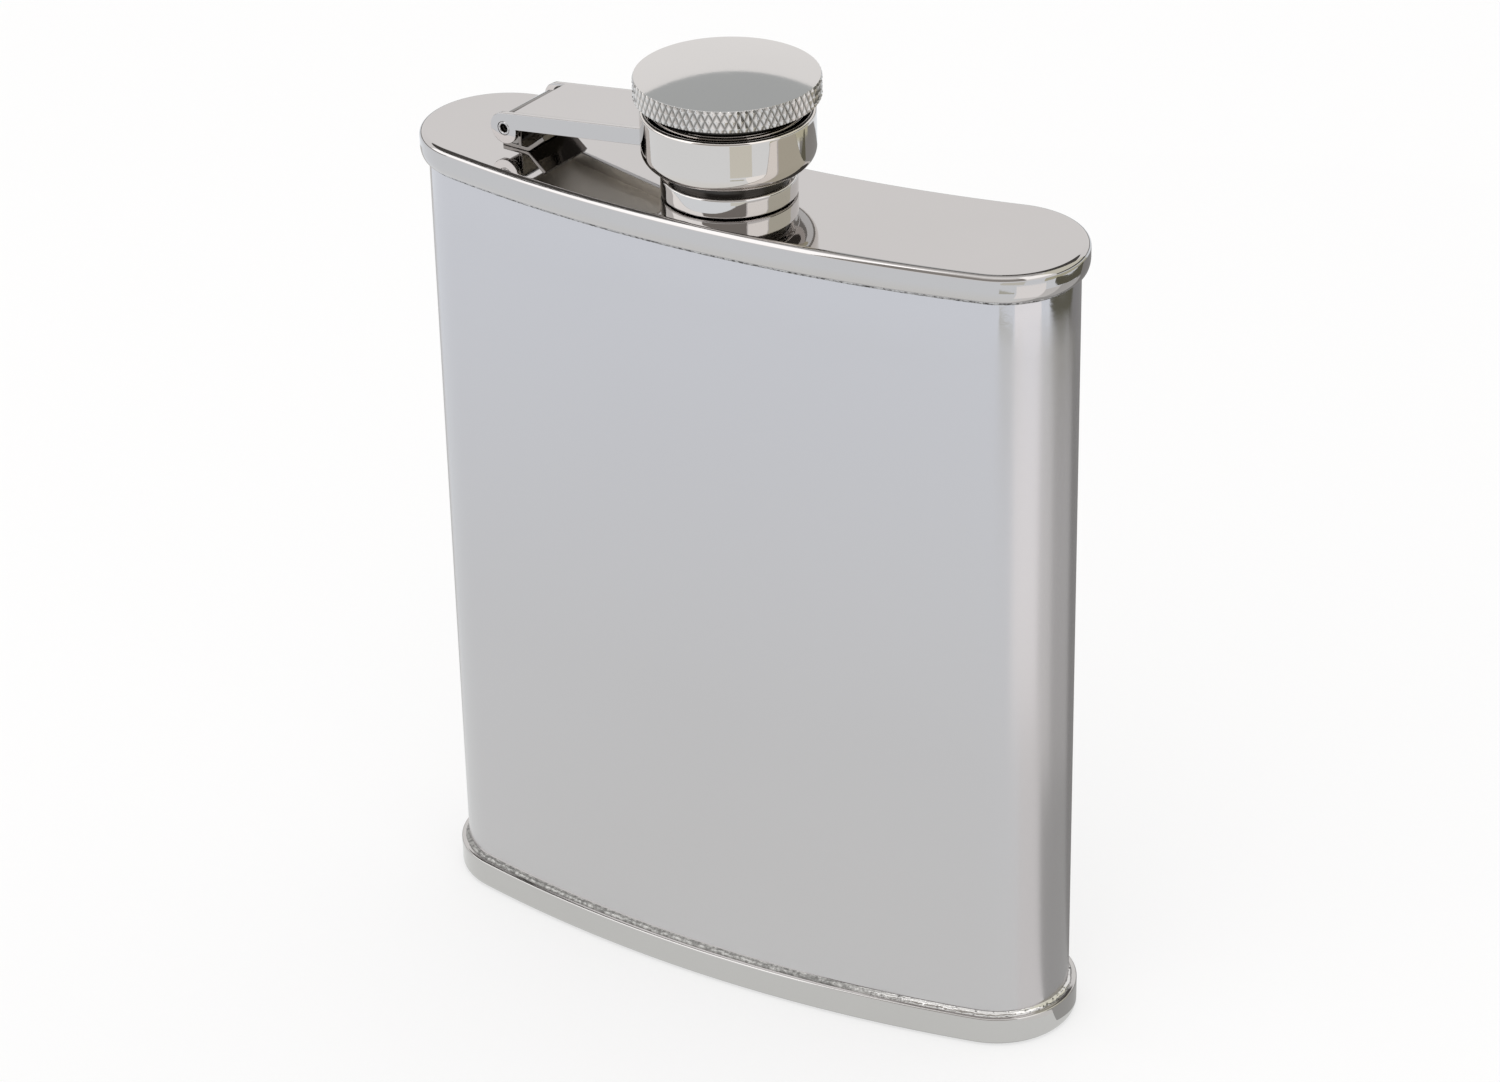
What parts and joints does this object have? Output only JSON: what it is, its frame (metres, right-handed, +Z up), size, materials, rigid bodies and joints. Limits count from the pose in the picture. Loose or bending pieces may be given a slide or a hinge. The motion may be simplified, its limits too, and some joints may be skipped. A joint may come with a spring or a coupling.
{
  "type": "hip flask",
  "caption": "Curved steel hip flask with a knurled screw cap held captive by a hinged arm.",
  "frame": {"origin": "bottom centre of the overall box, on the surface that the flask stands on", "axes": "+Z up along the flask, +X along its width away from the hinge, +Y from the convex face to the concave face"},
  "size_m": [0.095, 0.0266, 0.13],
  "materials": {
    "satin_steel": "satin stainless steel",
    "polished_steel": "mirror-polished stainless steel",
    "weld_steel": "rough weld bead",
    "turned_steel": "turned and pressed steel",
    "seal_plastic": "soft white sealing disc"
  },
  "bodies": {
    "flask": {"body_sleeve": "satin_steel", "top_pan": "polished_steel", "base_pan": "polished_steel", "top_weld_bead": "weld_steel", "base_weld_bead": "weld_steel", "threaded_neck": "turned_steel", "hinge_bracket": "turned_steel"},
    "arm": {"hinge_pin": "turned_steel", "hinge_arm": "polished_steel", "captive_ring": "polished_steel"},
    "seal": {"cap_seal": "seal_plastic"},
    "cap": {"cap_head": "polished_steel", "cap_stem": "turned_steel", "cap_collar": "polished_steel"}
  },
  "joints": [
    {"name": "arm_swing", "type": "hinge", "parent": "flask", "child": "arm", "pos_m": [-0.03117, 0.00135, 0.11675], "axis": [-0.0901, -0.9959, 0], "range_deg": [0, 165]},
    {"name": "cap_rise", "type": "slide", "parent": "arm", "child": "seal", "axis": [0, 0, 1], "range_m": [0, 0.00135]},
    {"name": "cap_turn", "type": "hinge", "parent": "seal", "child": "cap", "pos_m": [0, -0.00147, 0.1218], "axis": [0, 0, 1], "range_deg": [0, 360]}
  ],
  "couplings": [
    {"joint": "cap_rise", "follows": "cap_turn", "m_per_rad": 0.00021486}
  ]
}
